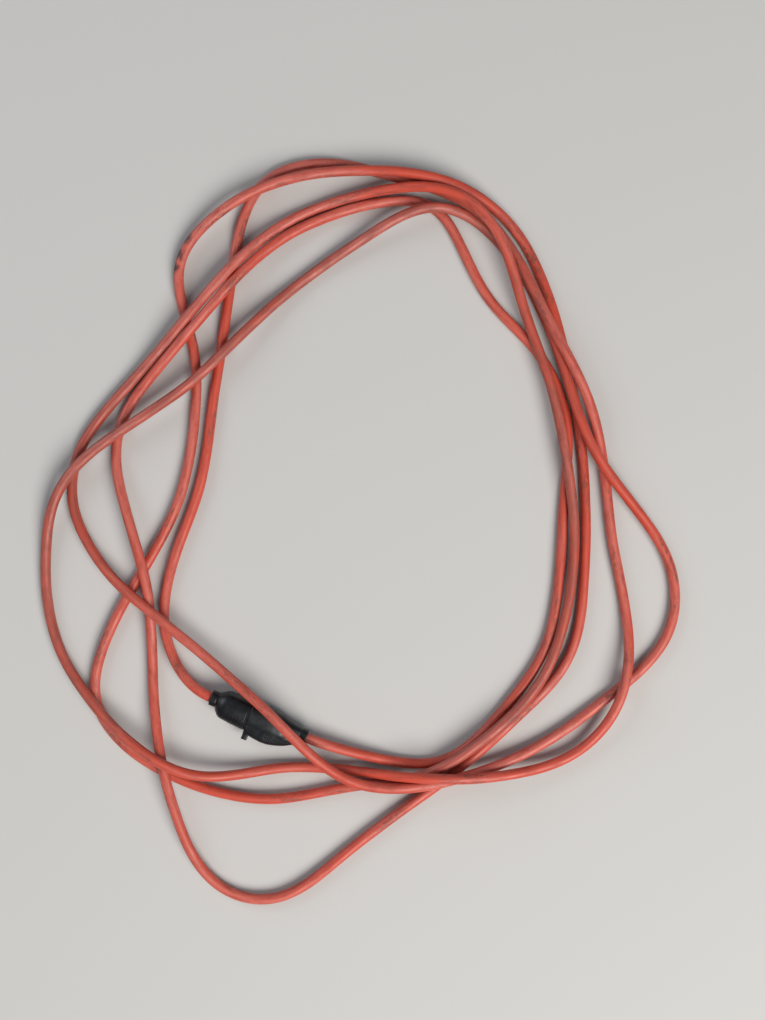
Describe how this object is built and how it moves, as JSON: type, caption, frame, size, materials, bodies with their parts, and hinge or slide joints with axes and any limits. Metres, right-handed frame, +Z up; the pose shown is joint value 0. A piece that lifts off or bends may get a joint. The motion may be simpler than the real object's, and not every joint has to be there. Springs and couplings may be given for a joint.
{
  "type": "extension cord",
  "caption": "Outdoor three-core extension cord lying in loose crossing turns, its moulded plug pushed into its own connector.",
  "frame": {"origin": "on the floor under the middle of the coil's outline", "axes": "+Z up from the floor, +Y along the coil's longer side, +X to the right of it seen from above"},
  "size_m": [0.5505, 0.642, 0.0351],
  "materials": {
    "jacket_vinyl": "faded orange-red extruded vinyl, slightly scuffed",
    "moulded_vinyl": "black moulded vinyl, dusty satin",
    "bridge_nylon": "dark moulded nylon",
    "plated_blade": "nickel-plated stamped brass",
    "contact_brass": "bare stamped brass",
    "wire_black": "black wire insulation",
    "wire_white": "white wire insulation",
    "wire_green": "green wire insulation"
  },
  "bodies": {
    "cord_and_plug": {"plug_body": "moulded_vinyl", "plug_bridge": "bridge_nylon", "line_blade": "plated_blade", "neutral_blade": "plated_blade", "ground_pin": "plated_blade", "plug_cord_end": "jacket_vinyl", "plug_crimp_line": "contact_brass", "plug_crimp_neutral": "contact_brass", "plug_crimp_ground": "contact_brass", "plug_wire_line": "wire_black", "plug_wire_neutral": "wire_white", "plug_wire_ground": "wire_green", "cord_tail": "jacket_vinyl", "cord_turn_1": "jacket_vinyl", "cord_turn_2": "jacket_vinyl", "cord_turn_3": "jacket_vinyl", "cord_turn_4": "jacket_vinyl", "cord_turn_5": "jacket_vinyl"},
    "connector": {"connector_body": "moulded_vinyl", "contact_carrier": "bridge_nylon", "line_contact": "contact_brass", "neutral_contact": "contact_brass", "ground_contact": "contact_brass", "connector_cord_end": "jacket_vinyl", "connector_crimp_line": "contact_brass", "connector_crimp_neutral": "contact_brass", "connector_crimp_ground": "contact_brass", "connector_wire_line": "wire_black", "connector_wire_neutral": "wire_white", "connector_wire_ground": "wire_green"}
  },
  "joints": [
    {"name": "connector_pull", "type": "slide", "parent": "cord_and_plug", "child": "connector", "axis": [0.9323, -0.3616, 0], "range_m": [0, 0.021], "deforming": ["cord_tail"]}
  ]
}
